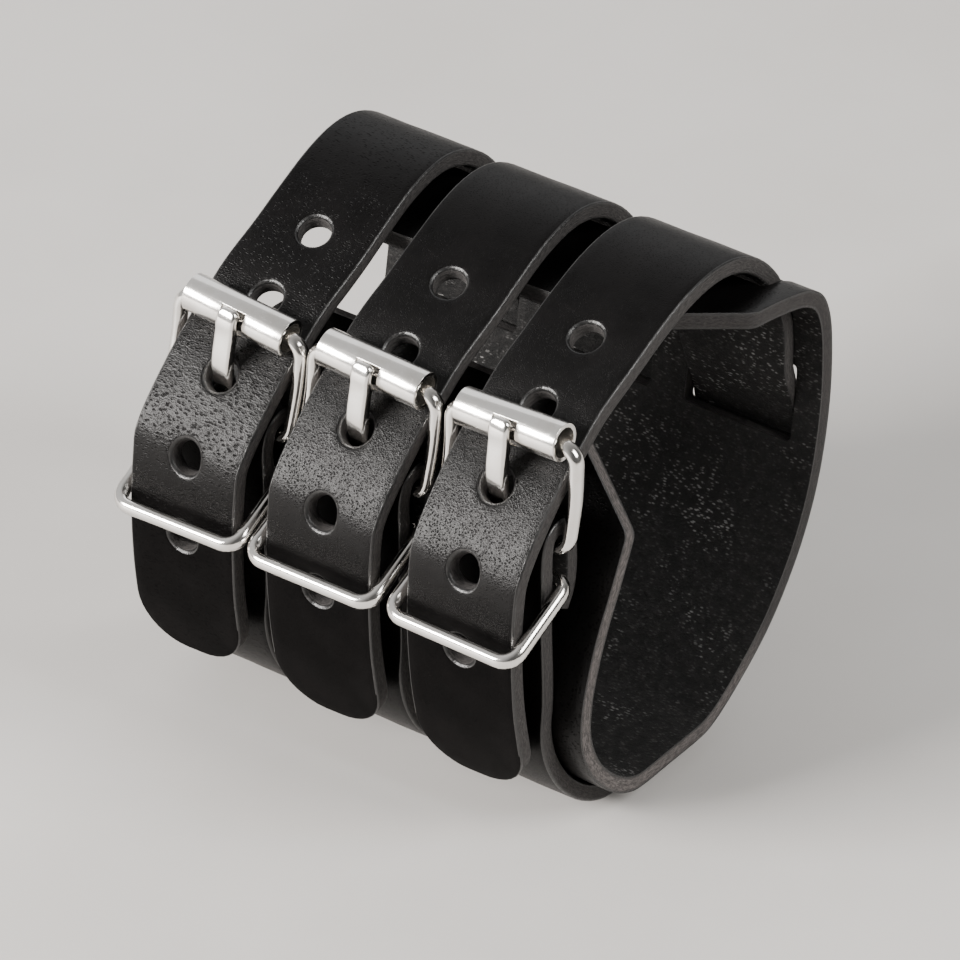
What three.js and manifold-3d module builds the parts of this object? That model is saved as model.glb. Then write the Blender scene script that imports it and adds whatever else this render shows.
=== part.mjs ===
// A leather cuff bracelet that lies on its side: a wide base cuff and three straps with roller buckles.
// Millimetres. X runs along the wrist, -Y is the buckled front, Z is up, and the table is at zero.
import * as THREE from "three";
import { mergeVertices } from "three/addons/utils/BufferGeometryUtils.js";
import Module from "manifold-3d";

// Leather
const leather = 2.5;
const seatGap = 0.3;
const bendPlay = 0.08;
const slotGap = 0.25;
const cuffDepth = 60;
const cuffHeight = 66;
const edgeMargin = 5;
const cornerAcross = 14;
const cornerAlongFront = 9;
const cornerAlongBack = 7;
const strapCount = 3;
const strapWidth = 17.8;
const strapPitch = 23.2;
const tailDrop = 36;
const tailStandOff = 9.7;
const tailCorner = 4.5;
const foldReturn = 10.5;
const foldFront = 12.5;
const foldSlack = 0.6;
const holeDiameter = 4.7;
const holePitch = 12;
const holesAbovePin = 2;
const holesBelowPin = 2;

// Metal
const wire = 2;
const wirePlay = 0.4;
const wireCorner = 2.4;
const frameLength = 15.5;
const frameLean = 7;
const frameBow = 0.4;
const rollerDiameter = 5.5;
const rollerWall = 0.6;
const rollerLength = 16.6;
const rollerOverTail = 0.6;
const rollerNotch = 4.5;
const rollerSag = 0.5;
const prongWidth = 3.4;
const prongThickness = 1.3;
const prongWrap = 278;
const prongLeave = 28;
const prongPlay = 0.4;
const prongSlot = 3.8;
const prongTip = 150;
const keeperReach = 14.7;
const keeperDrop = 25;
const keeperBelowBar = 5.1;
const keeperBehindBar = 0.33;

// How each strap sits: its step to the side, the turns of its buckle, roller and keeper in degrees,
// and the swing and added length of its tail.
const straps = [
  { shift: 0.1, buckleTurn: 4.2, rollerTilt: 1.8, keeperTurn: -1, tailSwing: -1.2, tailExtra: -1.5 },
  { shift: 0, buckleTurn: 3.2, rollerTilt: 0.6, keeperTurn: 0, tailSwing: 0, tailExtra: 0 },
  { shift: 0.6, buckleTurn: 0.2, rollerTilt: -1.8, keeperTurn: 1, tailSwing: 0.6, tailExtra: 0.5 },
].slice(0, strapCount);

// The outside of the cuff from its front end, down, under, up the back and forward over the top.
const cuffOutline = [
  { y: 0.262, z: 0.875 },
  { y: 0.225, z: 0.785 },
  { y: 0.185, z: 0.695 },
  { y: 0.118, z: 0.57 },
  { y: 0.055, z: 0.455 },
  { y: 0.012, z: 0.33 },
  { y: 0.008, z: 0.235 },
  { y: 0.045, z: 0.145 },
  { y: 0.112, z: 0.07 },
  { y: 0.2, z: 0.016 },
  { y: 0.32, z: -0.012 },
  { y: 0.43, z: -0.012 },
  { y: 0.53, z: 0.012 },
  { y: 0.635, z: 0.065 },
  { y: 0.765, z: 0.155 },
  { y: 0.875, z: 0.28 },
  { y: 0.95, z: 0.42 },
  { y: 0.99, z: 0.58 },
  { y: 0.998, z: 0.73 },
  { y: 0.985, z: 0.835 },
  { y: 0.955, z: 0.893 },
  { y: 0.9, z: 0.93 },
  { y: 0.82, z: 0.953 },
  { y: 0.72, z: 0.972 },
  { y: 0.56, z: 0.993 },
  { y: 0.447, z: 1 },
];
const cuffFloor = 0.006;

// The middle of a strap from where it comes out of the cuff's fold to where it comes down to the roller.
const strapArch = [
  { y: 0.874, z: 0.925 },
  { y: 0.848, z: 0.96 },
  { y: 0.81, z: 0.998 },
  { y: 0.757, z: 1.034 },
  { y: 0.695, z: 1.058 },
  { y: 0.61, z: 1.068 },
  { y: 0.51, z: 1.056 },
  { y: 0.4, z: 1.022 },
  { y: 0.3, z: 0.982 },
  { y: 0.19, z: 0.938 },
];
const wallLeaveFront = 0.33;
const wallLeaveBack = 0.55;
const insideLow = 0.69;
const insideHigh = 0.82;
const foldBarPlace = { y: 0.025, z: 0.695 };
const pinHolePlace = { up: 7.2, out: 1.6 };

// The hanging tail: how far down from the buckle bar, as a share of its drop, and how far out.
const tailShape = [
  { down: 0.03, out: 0.865 },
  { down: 0.15, out: 0.965 },
  { down: 0.3, out: 1 },
  { down: 0.44, out: 1 },
  { down: 0.62, out: 0.95 },
  { down: 0.82, out: 0.82 },
  { down: 1, out: 0.65 },
];

const wasm = await Module();
wasm.setup();

const black = new THREE.Color(0x17130f);
const nickel = new THREE.Color(0xd8d4cc);
const tableToCuff = leather + seatGap;
const cuffWidth = (strapCount - 1) * strapPitch + strapWidth + 2 * edgeMargin;
const radians = THREE.MathUtils.degToRad;
const bar = new THREE.Vector2(foldBarPlace.y * cuffDepth, foldBarPlace.z * cuffHeight + tableToCuff);
const chord = new THREE.Vector2(Math.sin(radians(frameLean)), Math.cos(radians(frameLean)));

function leatherMaterial() {
  return new THREE.MeshStandardMaterial({ color: black, roughness: 0.55, metalness: 0 });
}

function metalMaterial() {
  return new THREE.MeshStandardMaterial({ color: nickel, roughness: 0.15, metalness: 1 });
}

function solid(geometry) {
  const bare = geometry.clone();
  bare.deleteAttribute("normal");
  bare.deleteAttribute("uv");
  const merged = mergeVertices(bare, 1e-4);
  return new wasm.Manifold(
    new wasm.Mesh({
      numProp: 3,
      vertProperties: merged.attributes.position.array,
      triVerts: new Uint32Array(merged.index.array),
    }),
  );
}

function geometryOf(manifold) {
  const mesh = manifold.getMesh();
  const geometry = new THREE.BufferGeometry();
  geometry.setAttribute("position", new THREE.BufferAttribute(mesh.vertProperties, 3));
  geometry.setIndex(new THREE.BufferAttribute(mesh.triVerts, 1));
  geometry.computeVertexNormals();
  return geometry;
}

// A smooth line in the YZ plane through the points, kept only where it turns or runs on for long.
function smoothLine(points, turn = 7, longest = 7) {
  const curve = new THREE.CatmullRomCurve3(points.map((p) => new THREE.Vector3(0, p.x, p.y)), false, "centripetal");
  const fine = curve.getSpacedPoints(600).map((p) => new THREE.Vector2(p.y, p.z));
  const kept = [fine[0]];
  let heading = fine[1].clone().sub(fine[0]).angle();
  for (let i = 1; i < fine.length - 1; i++) {
    const next = fine[i + 1].clone().sub(fine[i]).angle();
    const bend = Math.abs(Math.atan2(Math.sin(next - heading), Math.cos(next - heading)));
    if (bend > radians(turn) || fine[i].distanceTo(kept.at(-1)) > longest) {
      kept.push(fine[i]);
      heading = next;
    }
  }
  kept.push(fine.at(-1));
  return kept;
}

// The unit normal to the left of a line at each of its points.
function normals(line) {
  return line.map((p, i) => {
    const before = line[Math.max(i - 1, 0)];
    const after = line[Math.min(i + 1, line.length - 1)];
    const along = after.clone().sub(before).normalize();
    return new THREE.Vector2(-along.y, along.x);
  });
}

function offset(line, distance) {
  const sides = normals(line);
  return line.map((p, i) => p.clone().addScaledVector(sides[i], distance));
}

// A band of leather: the line thickened to both sides and drawn out along X.
function band(line, thickness, width) {
  const outline = [...offset(line, thickness / 2), ...offset(line, -thickness / 2).reverse()];
  const geometry = new THREE.ExtrudeGeometry(new THREE.Shape(outline), { depth: width, bevelEnabled: false });
  geometry.applyMatrix4(new THREE.Matrix4().makeBasis(
    new THREE.Vector3(0, 1, 0),
    new THREE.Vector3(0, 0, 1),
    new THREE.Vector3(1, 0, 0),
  ));
  geometry.translate(-width / 2, 0, 0);
  return solid(geometry);
}

// Where a line is at a length from its start: the point and its direction.
function stationAt(line, length) {
  let left = length;
  for (let i = 0; i < line.length - 1; i++) {
    const step = line[i].distanceTo(line[i + 1]);
    if (left <= step || i === line.length - 2) {
      const along = line[i + 1].clone().sub(line[i]).normalize();
      const point = line[i].clone().addScaledVector(along, left);
      return { point, along };
    }
    left -= step;
  }
}

function lineLength(line) {
  return line.slice(1).reduce((sum, p, i) => sum + p.distanceTo(line[i]), 0);
}

// A punch: a flat shape drawn through the leather, across X and along the line at a station.
function punch(shape, station, depth) {
  const geometry = new THREE.ExtrudeGeometry(shape, { depth, bevelEnabled: false, curveSegments: 4 });
  geometry.translate(0, 0, -depth / 2);
  geometry.applyMatrix4(new THREE.Matrix4().makeBasis(
    new THREE.Vector3(1, 0, 0),
    new THREE.Vector3(0, station.along.x, station.along.y),
    new THREE.Vector3(0, -station.along.y, station.along.x),
  ));
  geometry.translate(0, station.point.x, station.point.y);
  return solid(geometry);
}

function polygon(points) {
  return new THREE.Shape(points.map(([x, y]) => new THREE.Vector2(x, y)));
}

// The two corners of an end, cut off straight.
function cutCorners(half, across, along) {
  const past = 2;
  const slope = past * across / along;
  return [1, -1].map((s) => polygon([
    [s * (half - across - slope), -past],
    [s * (half + past), -past],
    [s * (half + past), along + past * along / across],
  ]));
}

// The two corners of an end, rounded.
function roundCorners(half, radius) {
  const past = 2;
  return [1, -1].map((s) => {
    const shape = new THREE.Shape();
    shape.moveTo(s * (half + past), -past);
    shape.lineTo(s * (half + past), radius);
    shape.lineTo(s * half, radius);
    shape.absarc(s * (half - radius), radius, radius, s > 0 ? 0 : Math.PI, 1.5 * Math.PI, s > 0);
    shape.lineTo(s * (half - radius), -past);
    return shape;
  });
}

function sized(rows) {
  return rows.map((p) => new THREE.Vector2(p.y * cuffDepth, p.z * cuffHeight + tableToCuff));
}

// The outside face of the cuff, pressed flat where it rests.
const cuffFace = smoothLine(sized(cuffOutline)).map(
  (p) => new THREE.Vector2(p.x, Math.max(p.y, cuffFloor * cuffHeight + tableToCuff)),
);
const cuffMiddle = offset(cuffFace, leather / 2);

function strapLine(sway) {
  const halfTurn = wire / 2 + wirePlay + leather / 2;
  const top = bar.clone().setY(bar.y + foldSlack);
  const toSeat = seatGap + bendPlay + leather / 2;
  const seat = offset(cuffFace, -toSeat);
  const lowest = cuffFloor * cuffHeight + tableToCuff - toSeat;
  const lining = offset(cuffFace, 1.5 * leather + seatGap);
  const level = (share) => share * cuffHeight + tableToCuff;
  const atBack = (p) => p.x > cuffDepth / 2;
  const wrapped = seat.filter((p) => p.y < level(atBack(p) ? wallLeaveBack : wallLeaveFront));
  const inside = lining.filter((p) => atBack(p) && p.y > level(insideLow) && p.y < level(insideHigh));
  const fold = [
    new THREE.Vector2(bar.x + 0.35 * halfTurn, bar.y - foldReturn),
    new THREE.Vector2(bar.x + 0.85 * halfTurn, bar.y - 0.78 * foldReturn),
    new THREE.Vector2(bar.x + 1.08 * halfTurn, bar.y - 0.5 * foldReturn),
    ...[0, 45, 90, 135, 180].map((a) => new THREE.Vector2(
      top.x + halfTurn * Math.cos(radians(a)),
      top.y + halfTurn * Math.sin(radians(a)),
    )),
    new THREE.Vector2(bar.x - 1.04 * halfTurn, bar.y - 0.5 * foldReturn),
    new THREE.Vector2(bar.x - 1.05 * halfTurn, bar.y - foldFront),
  ];
  const roller = rollerPlace();
  const underRoller = roller.centre.clone().addScaledVector(
    roller.away,
    -(rollerDiameter / 2 + rollerOverTail + leather / 2),
  );
  const pinHole = new THREE.Vector2(bar.x - pinHolePlace.out, bar.y + pinHolePlace.up);
  const tail = tailShape.map((row) => new THREE.Vector2(
    bar.x - row.out * tailStandOff + sway.tailSwing * row.down * row.down,
    bar.y - row.down * (tailDrop + sway.tailExtra),
  ));
  const points = [
    ...fold,
    ...wrapped,
    ...inside,
    ...sized(strapArch),
    underRoller,
    pinHole,
    ...tail,
  ];
  const line = smoothLine(points, 8, 8).map((p) => new THREE.Vector2(p.x, Math.max(p.y, lowest)));
  return { line, pinHole };
}

function rollerPlace() {
  const away = new THREE.Vector2(-0.62, 0.785).normalize();
  const barCentre = bar.clone().addScaledVector(chord, frameLength);
  const centre = barCentre.clone().addScaledVector(away, rollerSag);
  return { barCentre, centre, away };
}

// The length along a line at which it comes closest to a point.
function lengthNear(line, target) {
  let best = 0;
  let nearest = Infinity;
  const total = lineLength(line);
  for (let s = 0; s <= total; s += 0.1) {
    const d = stationAt(line, s).point.distanceTo(target);
    if (d < nearest) {
      nearest = d;
      best = s;
    }
  }
  return best;
}

function makeStrap(sway) {
  const { line, pinHole } = strapLine(sway);
  const total = lineLength(line);
  let body = band(line, leather, strapWidth);
  const pinAt = lengthNear(line, pinHole);
  const circle = new THREE.Shape().absarc(0, 0, holeDiameter / 2, 0, 2 * Math.PI);
  for (let i = -holesAbovePin; i <= holesBelowPin; i++) {
    body = body.subtract(punch(circle, stationAt(line, pinAt + i * holePitch), 2 * leather));
  }
  const end = stationAt(line, total);
  end.along.negate();
  for (const shape of roundCorners(strapWidth / 2, tailCorner)) {
    body = body.subtract(punch(shape, end, 2 * leather));
  }
  const reach = wire / 2 + wirePlay + leather + slotGap;
  const slotTop = new THREE.CylinderGeometry(reach, reach, prongWidth + 2 * prongPlay, 20);
  slotTop.rotateZ(Math.PI / 2);
  slotTop.translate(0, bar.x, bar.y + foldSlack);
  const slot = new THREE.BoxGeometry(prongWidth + 2 * prongPlay, 2 * reach, prongSlot);
  slot.translate(0, bar.x, bar.y + foldSlack - prongSlot / 2);
  return body.subtract(solid(slotTop)).subtract(solid(slot));
}

// The cuff: one bent sheet with cut corners, and slots where the straps go in and out at the back.
function makeCuff() {
  let body = band(cuffMiddle, leather, cuffWidth);
  const front = stationAt(cuffMiddle, 0);
  const back = stationAt(cuffMiddle, lineLength(cuffMiddle));
  back.along.negate();
  for (const shape of cutCorners(cuffWidth / 2, cornerAcross, cornerAlongFront)) {
    body = body.subtract(punch(shape, front, 3 * leather));
  }
  for (const shape of cutCorners(cuffWidth / 2, cornerAcross, cornerAlongBack)) {
    body = body.subtract(punch(shape, back, 3 * leather));
  }
  const { line } = strapLine(straps[0]);
  const from = lengthNear(line, new THREE.Vector2(cuffDepth, wallLeaveBack * cuffHeight + tableToCuff - 4));
  const to = lengthNear(line, sized(strapArch)[2]);
  const through = [];
  for (let s = from; s <= to; s += 1.5) through.push(stationAt(line, s).point);
  const slot = band(through, leather + 2 * slotGap, strapWidth + 2 * slotGap);
  straps.forEach((sway, i) => {
    body = body.subtract(slot.translate([strapX(i) + sway.shift, 0, 0]));
  });
  return body;
}

function strapX(i) {
  return (i - (strapCount - 1) / 2) * strapPitch;
}

// A closed loop of round wire: a rectangle with round corners between two bars, bowed between them.
function wireLoop(innerWidth, from, to, bow) {
  const half = innerWidth / 2 + wire / 2;
  const up = to.clone().sub(from);
  const length = up.length();
  up.normalize();
  const out = new THREE.Vector2(up.y, -up.x);
  const corners = [
    { x: half - wireCorner, u: length - wireCorner, turn: 0 },
    { x: -half + wireCorner, u: length - wireCorner, turn: 90 },
    { x: -half + wireCorner, u: wireCorner, turn: 180 },
    { x: half - wireCorner, u: wireCorner, turn: 270 },
  ];
  const flat = [];
  corners.forEach((c, i) => {
    for (const a of [0, 30, 60, 90]) {
      const angle = radians(c.turn + a);
      flat.push(new THREE.Vector2(c.x + wireCorner * Math.cos(angle), c.u + wireCorner * Math.sin(angle)));
    }
    const next = corners[(i + 1) % 4];
    const last = flat.at(-1);
    const angle = radians(next.turn);
    const first = new THREE.Vector2(next.x + wireCorner * Math.cos(angle), next.u + wireCorner * Math.sin(angle));
    for (const share of [0.25, 0.5, 0.75]) flat.push(last.clone().lerp(first, share));
  });
  const points = flat.map((p) => {
    const share = p.y / length;
    const place = from.clone().addScaledVector(up, p.y).addScaledVector(out, 16 * bow * (share * (1 - share)) ** 2);
    return new THREE.Vector3(p.x, place.x, place.y);
  });
  const curve = new THREE.CatmullRomCurve3(points, true, "centripetal");
  return solid(new THREE.TubeGeometry(curve, 52, wire / 2, 7, true));
}

function makeFrame() {
  return wireLoop(strapWidth + 2 * wirePlay, bar, rollerPlace().barCentre, frameBow);
}

function makeRoller(sway) {
  const { centre, away } = rollerPlace();
  const outer = rollerDiameter / 2;
  const inner = outer - rollerWall;
  const half = rollerLength / 2;
  const profile = [[inner, -half], [outer, -half], [outer, half], [inner, half], [inner, -half]];
  const geometry = new THREE.LatheGeometry(profile.map(([r, h]) => new THREE.Vector2(r, h)), 20);
  geometry.rotateZ(-Math.PI / 2);
  const notch = new THREE.BoxGeometry(rollerNotch, outer * 1.3, outer * 2);
  notch.translate(0, -0.9 * outer, 0);
  notch.rotateX(-0.35);
  const tube = geometryOf(solid(geometry).subtract(solid(notch)));
  tube.rotateY(radians(sway.rollerTilt));
  tube.translate(0, centre.x, centre.y);
  return tube;
}

function makeProng() {
  const wrapRadius = wire / 2 + wirePlay + prongThickness / 2;
  const roller = rollerPlace();
  const lift = rollerDiameter / 2 - rollerWall + wirePlay + prongThickness / 2;
  const around = (centre, radius, angle) => new THREE.Vector3(
    0,
    centre.x + radius * Math.cos(radians(angle)),
    centre.y + radius * Math.sin(radians(angle)),
  );
  const points = [];
  for (let a = 0; a <= prongWrap; a += prongWrap / 10) {
    points.push(around(bar, wrapRadius, prongLeave - prongWrap + a));
  }
  const hole = new THREE.Vector2(bar.x - pinHolePlace.out, bar.y + pinHolePlace.up);
  points.push(new THREE.Vector3(0, hole.x + 0.55, hole.y - 1.6));
  points.push(new THREE.Vector3(0, hole.x - 0.15, hole.y));
  points.push(new THREE.Vector3(0, hole.x - 0.7, hole.y + 2.4));
  for (const a of [190, 177, 163, prongTip]) points.push(around(roller.centre, lift, a));
  const curve = new THREE.CatmullRomCurve3(points, false, "centripetal");
  const section = new THREE.Shape().absellipse(0, 0, prongWidth / 2, prongThickness / 2, 0, 2 * Math.PI);
  const shank = new THREE.ExtrudeGeometry(section, { steps: 32, extrudePath: curve, curveSegments: 4 });
  const tip = new THREE.SphereGeometry(1, 8, 6);
  tip.scale(prongWidth / 2, prongWidth / 2, prongThickness / 2);
  tip.rotateX(radians(prongTip - 90));
  const end = points.at(-1);
  tip.translate(end.x, end.y, end.z);
  return solid(shank).add(solid(tip));
}

function makeKeeper() {
  const back = new THREE.Vector2(bar.x + keeperBehindBar, bar.y - keeperBelowBar);
  const fall = radians(keeperDrop);
  const front = new THREE.Vector2(back.x - keeperReach * Math.cos(fall), back.y - keeperReach * Math.sin(fall));
  return wireLoop(strapWidth + 2 * wirePlay, back, front, 0);
}

// The buckle end of a strap sits a little turned, and the turn dies away round the cuff.
function turned(geometry, sway) {
  const place = geometry.getAttribute("position");
  const point = new THREE.Vector3();
  const fade = (value, none, full) => THREE.MathUtils.smoothstep((value - none) / (full - none), 0, 1);
  for (let i = 0; i < place.count; i++) {
    point.fromBufferAttribute(place, i);
    const above = fade(point.z, bar.y - 0.24 * frameLength, bar.y - 0.05 * frameLength);
    const ahead = fade(point.y, 0.75 * cuffDepth, 0.2 * cuffDepth);
    const angle = radians(sway.buckleTurn) * above * ahead;
    const x = point.x;
    const z = point.z - bar.y;
    place.setXYZ(i, x * Math.cos(angle) + z * Math.sin(angle), point.y, bar.y + z * Math.cos(angle) - x * Math.sin(angle));
  }
  place.needsUpdate = true;
  geometry.computeVertexNormals();
  return geometry;
}

function spun(geometry, sway) {
  geometry.translate(0, 0, -bar.y);
  geometry.rotateY(radians(sway.keeperTurn));
  geometry.translate(0, 0, bar.y);
  return geometry;
}

const bracelet = new THREE.Group();

function addPiece(name, geometry, material, x = 0) {
  const mesh = new THREE.Mesh(geometry, material);
  mesh.name = name;
  mesh.position.x = x;
  bracelet.add(mesh);
}

addPiece("base_cuff", geometryOf(makeCuff()), leatherMaterial());
straps.forEach((sway, i) => {
  const x = strapX(i) + sway.shift;
  const n = i + 1;
  addPiece(`strap_${n}`, turned(geometryOf(makeStrap(sway)), sway), leatherMaterial(), x);
  addPiece(`buckle_frame_${n}`, turned(geometryOf(makeFrame()), sway), metalMaterial(), x);
  addPiece(`roller_${n}`, turned(makeRoller(sway), sway), metalMaterial(), x);
  addPiece(`prong_${n}`, turned(geometryOf(makeProng()), sway), metalMaterial(), x);
  addPiece(`keeper_loop_${n}`, spun(geometryOf(makeKeeper()), sway), metalMaterial(), x);
});

const reach = new THREE.Box3().setFromObject(bracelet);
const middle = reach.getCenter(new THREE.Vector3());
bracelet.position.set(-middle.x, -middle.y, -reach.min.z);

export default bracelet;
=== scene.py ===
# The looks of the cuff bracelet: black leather cuff and straps, nickel roller buckles and wire keepers.
# Each leather piece and prong is modelled flat, bent along the same route as its solid and put in the solid's place.
import math

import bmesh
import bpy
from mathutils import Matrix, Vector


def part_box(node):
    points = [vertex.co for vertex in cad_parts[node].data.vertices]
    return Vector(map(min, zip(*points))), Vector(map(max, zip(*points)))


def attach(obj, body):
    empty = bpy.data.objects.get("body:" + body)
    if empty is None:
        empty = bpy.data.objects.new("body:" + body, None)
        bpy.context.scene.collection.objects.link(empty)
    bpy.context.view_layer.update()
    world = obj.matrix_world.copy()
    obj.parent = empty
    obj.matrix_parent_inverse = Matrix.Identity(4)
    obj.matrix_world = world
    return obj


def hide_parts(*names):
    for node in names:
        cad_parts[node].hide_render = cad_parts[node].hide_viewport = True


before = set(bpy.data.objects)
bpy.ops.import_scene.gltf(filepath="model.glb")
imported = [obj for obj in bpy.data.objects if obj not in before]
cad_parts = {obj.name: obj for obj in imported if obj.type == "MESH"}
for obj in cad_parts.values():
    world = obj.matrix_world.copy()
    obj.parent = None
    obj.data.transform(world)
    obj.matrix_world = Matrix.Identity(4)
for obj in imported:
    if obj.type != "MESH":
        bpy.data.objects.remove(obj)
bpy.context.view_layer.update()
MM = 0.001

# Leather, in millimetres
LEATHER = 2.5
SEAT_GAP = 0.3
BEND_PLAY = 0.08
CUFF_DEPTH = 60.0
CUFF_HEIGHT = 66.0
EDGE_MARGIN = 5.0
CORNER_ACROSS = 14.0
CORNER_ALONG_FRONT = 9.0
CORNER_ALONG_BACK = 7.0
CORNER_ROUND = 0.9
CUFF_EDGE_ROUND = 0.3
FLAT_EASED_BELOW = 7.0
STRAP_WIDTH = 17.8
STRAP_PITCH = 23.2
STRAP_EDGE_ROUND = 0.32
TAIL_DROP = 36.0
TAIL_STAND_OFF = 9.7
TAIL_CORNER = 7.6
FOLD_RETURN = 10.5
FOLD_FRONT = 12.5
FOLD_SLACK = 0.6
FOLD_SLOT_LENGTH = 14.8
FOLD_SLOT_WIDTH = 4.2
FOLD_SLOT_CORNER = 1.9
FOLD_SLOT_ABOVE_BAR = 5.0
CUFF_SLOT_PLAY = 0.15
CUFF_SLOT_REACH = 0.12
CUFF_SLOT_CORNER = 0.7
HOLE_DIAMETER = 4.7
HOLE_PITCH = 12.0
HOLE_RIM = 0.75
HOLE_SIDES = 40
HOLES_EACH_WAY = 2

# Metal, in millimetres and degrees
WIRE = 2.0
WIRE_THROUGH = 2.5
WIRE_PLAY = 0.4
WIRE_CORNER = 2.4
FRAME_LENGTH = 15.5
FRAME_LEAN = 7.0
FRAME_BOW = 0.4
ROLLER_DIAMETER = 5.5
ROLLER_WALL = 0.6
ROLLER_LENGTH = 16.6
ROLLER_RIM = 0.16
ROLLER_SEAM = 2.6
ROLLER_OVER_TAIL = 0.6
ROLLER_SAG = 0.5
PRONG_WIDTH = 3.1
PRONG_THICKNESS = 1.7
PRONG_END_ROUND = 1.05
PRONG_EDGE_ROUND = 0.5
PRONG_WRAP = 278.0
PRONG_LEAVE = 28.0
KEEPER_REACH = 14.7
KEEPER_DROP = 25.0
KEEPER_BELOW_BAR = 5.1
KEEPER_BEHIND_BAR = 0.33

# The roller's notch: its width in millimetres, where it lies as shares of the diameter, and its turn.
NOTCH_WIDTH = 4.0
NOTCH_FRONT = 0.78
NOTCH_BACK = 0.33
NOTCH_TURN = 0.02

# How each strap sits: step to the side, turns of buckle, roller and keeper, swing and added length of the tail.
STRAPS = [
    dict(shift=0.1, buckle_turn=4.2, roller_tilt=1.8, keeper_turn=-1.0, tail_swing=-1.2, tail_extra=-1.5),
    dict(shift=0.0, buckle_turn=3.2, roller_tilt=0.6, keeper_turn=0.0, tail_swing=0.0, tail_extra=0.0),
    dict(shift=0.6, buckle_turn=0.2, roller_tilt=-1.8, keeper_turn=1.0, tail_swing=0.6, tail_extra=0.5),
]

# The outside of the cuff as shares of its depth and height, from its front end round to its back end.
CUFF_OUTLINE = [
    (0.262, 0.875), (0.225, 0.785), (0.185, 0.695), (0.118, 0.57), (0.055, 0.455), (0.012, 0.33),
    (0.008, 0.235), (0.045, 0.145), (0.112, 0.07), (0.2, 0.016), (0.32, -0.012), (0.43, -0.012),
    (0.53, 0.012), (0.635, 0.065), (0.765, 0.155), (0.875, 0.28), (0.95, 0.42), (0.99, 0.58),
    (0.998, 0.73), (0.985, 0.835), (0.955, 0.893), (0.9, 0.93), (0.82, 0.953), (0.72, 0.972),
    (0.56, 0.993), (0.447, 1.0),
]
# The height at which the cuff is pressed flat on the table, as a share of its own height.
CUFF_FLOOR = 0.006
# The middle of a strap over the open top, as shares of the cuff's depth and height, from back to front.
STRAP_ARCH = [
    (0.874, 0.925), (0.848, 0.96), (0.81, 0.998), (0.757, 1.034), (0.695, 1.058),
    (0.61, 1.068), (0.51, 1.056), (0.4, 1.022), (0.3, 0.982), (0.19, 0.938),
]
# The middle of a tail below the bar: shares of its drop and of how far it stands off.
TAIL_SHAPE = [(0.03, 0.865), (0.15, 0.965), (0.3, 1.0), (0.44, 1.0), (0.62, 0.95), (0.82, 0.82), (1.0, 0.65)]
# The strap's fixed end behind the bar: shares of the fold's radius and of its return.
FOLD_BEHIND = [(0.35, 1.0), (0.85, 0.78), (1.08, 0.5)]
# Where a strap leaves the cuff's front and back, and where it runs on the inside, as shares of the cuff's height.
WALL_LEAVE_FRONT = 0.33
WALL_LEAVE_BACK = 0.55
INSIDE_LOW = 0.69
INSIDE_HIGH = 0.82
# The bar as shares of the cuff's depth and height, and how far the prong's hole lies in front of it and above it.
BAR_ALONG = 0.025
BAR_UP = 0.695
PIN_HOLE_AHEAD = 1.6
PIN_HOLE_ABOVE = 7.2
# The prong near its hole, in millimetres from it, and over the roller, in degrees round it.
PRONG_AT_HOLE = ((0.55, -1.6), (-0.15, 0), (-0.7, 2.4))
PRONG_OVER_ROLLER = (190, 177, 163, 150, 137)

ROUTE_STEP = 0.3
PRONG_STEP = 0.15
AS_SMOOTH_BELOW = 38

TO_CUFF = LEATHER + SEAT_GAP
BAR = Vector((BAR_ALONG * CUFF_DEPTH, BAR_UP * CUFF_HEIGHT + TO_CUFF))
PIN_HOLE = Vector((BAR.x - PIN_HOLE_AHEAD, BAR.y + PIN_HOLE_ABOVE))
CUFF_WIDTH = 2 * STRAP_PITCH + STRAP_WIDTH + 2 * EDGE_MARGIN


def ease(share):
    """From 0 to 1, eased at both ends."""
    share = min(max(share, 0), 1)
    return share * share * (3 - 2 * share)


def polar(centre, radius, degrees):
    turn = math.radians(degrees)
    return Vector((centre[0] + radius * math.cos(turn), centre[1] + radius * math.sin(turn)))


def level(share):
    return share * CUFF_HEIGHT + TO_CUFF


def from_shares(rows):
    return [Vector((y * CUFF_DEPTH, level(z))) for y, z in rows]


def even(line, step):
    """The same line with its points an even step apart."""
    lengths = [0.0]
    for a, b in zip(line, line[1:]):
        lengths.append(lengths[-1] + (b - a).length)
    count = max(2, round(lengths[-1] / step))
    found, k = [], 0
    for i in range(count + 1):
        want = lengths[-1] * i / count
        while k < len(line) - 2 and lengths[k + 1] < want:
            k += 1
        share = (want - lengths[k]) / max(lengths[k + 1] - lengths[k], 1e-9)
        found.append(line[k].lerp(line[k + 1], min(max(share, 0), 1)))
    return found


def smooth(points, step=ROUTE_STEP):
    """A smooth line through the points, as a strip of leather or a wire would lie."""
    ends = [2 * points[0] - points[1], *points, 2 * points[-1] - points[-2]]
    parts = 16
    fine = []
    for a, b, c, d in zip(ends, ends[1:], ends[2:], ends[3:]):
        u, v, w = (max((q - p).length ** 0.5, 1e-4) for p, q in ((a, b), (b, c), (c, d)))
        leave = ((b - a) / u - (c - a) / (u + v) + (c - b) / v) * v
        arrive = ((c - b) / v - (d - b) / (v + w) + (d - c) / w) * v
        for i in range(parts):
            t = i / parts
            fine.append(
                b * (2 * t**3 - 3 * t**2 + 1) + leave * (t**3 - 2 * t**2 + t)
                + c * (3 * t**2 - 2 * t**3) + arrive * (t**3 - t**2)
            )
    return even([*fine, points[-1]], step)


def offset(line, distance):
    """The line moved to its left, which is towards the wrist."""
    moved = []
    for i, p in enumerate(line):
        along = (line[min(i + 1, len(line) - 1)] - line[max(i - 1, 0)]).normalized()
        moved.append(p + Vector((-along.y, along.x)) * distance)
    return moved


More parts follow.
